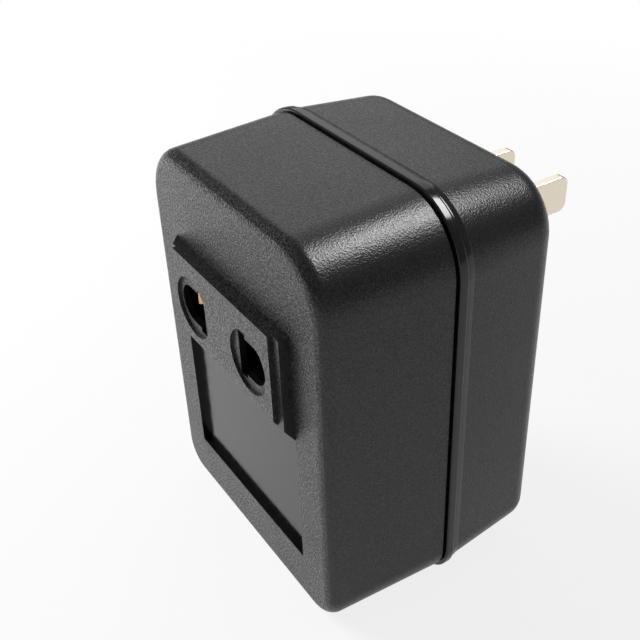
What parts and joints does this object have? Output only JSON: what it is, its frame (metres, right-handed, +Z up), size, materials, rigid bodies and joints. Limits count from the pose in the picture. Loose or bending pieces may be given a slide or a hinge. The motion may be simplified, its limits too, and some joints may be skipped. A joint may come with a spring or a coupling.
{
  "type": "travel voltage converter",
  "caption": "Plug-in travel voltage converter: drafted two-part plastic case round an autotransformer, flat plug blades behind, a raised combination socket in front.",
  "frame": {"origin": "middle of the flat rear face, which lies against the wall outlet", "axes": "+Y into the wall along the blades, +Z up, the sockets face -Y"},
  "size_m": [0.052, 0.062, 0.069],
  "materials": {
    "case_black": "fine spark-eroded texture, smooth band, panel and boss walls",
    "blade_brass": "pale brushed brass",
    "contact_brass": "stamped",
    "leaf_bronze": "spring bronze",
    "screw_steel": "zinc plated",
    "insulator": "moulded phenolic",
    "core_steel": "stacked laminations",
    "bobbin_nylon": "moulded nylon",
    "winding_copper": "enamelled copper",
    "tape_yellow": "polyester tape",
    "pin_tinned": "tinned",
    "fuse_body": "sealed",
    "lead_black": "insulated wire",
    "lead_white": "insulated wire",
    "lead_red": "insulated wire",
    "pad_rubber": "sheet rubber"
  },
  "bodies": {
    "case": {"front_shell": "case_black", "rear_shell": "case_black", "case_screws": "screw_steel", "left_blade": "blade_brass", "right_blade": "blade_brass", "blade_clamp": "insulator", "clamp_screw": "screw_steel", "contact_block": "insulator", "block_screw": "screw_steel", "left_contact": "contact_brass", "right_contact": "contact_brass", "e_core": "core_steel", "i_core": "core_steel", "bobbin": "bobbin_nylon", "winding": "winding_copper", "winding_tape": "tape_yellow", "terminal_pins": "pin_tinned", "thermal_fuse": "fuse_body", "lead_line": "lead_black", "lead_fuse": "lead_black", "lead_neutral": "lead_white", "lead_common": "lead_white", "lead_tap": "lead_red", "core_pads": "pad_rubber"},
    "left_leaf": {"left_leaf": "leaf_bronze"},
    "right_leaf": {"right_leaf": "leaf_bronze"}
  },
  "joints": [
    {"name": "right_leaf_flex", "type": "hinge", "parent": "case", "child": "right_leaf", "pos_m": [0.0084, -0.0274, 0.0106], "axis": [0, 0, 1], "range_deg": [0, 17], "stiffness_Nm_per_rad": 0.1},
    {"name": "left_leaf_flex", "type": "hinge", "parent": "case", "child": "left_leaf", "pos_m": [-0.0084, -0.0274, 0.0106], "axis": [0, 0, -1], "range_deg": [0, 17], "stiffness_Nm_per_rad": 0.1}
  ]
}
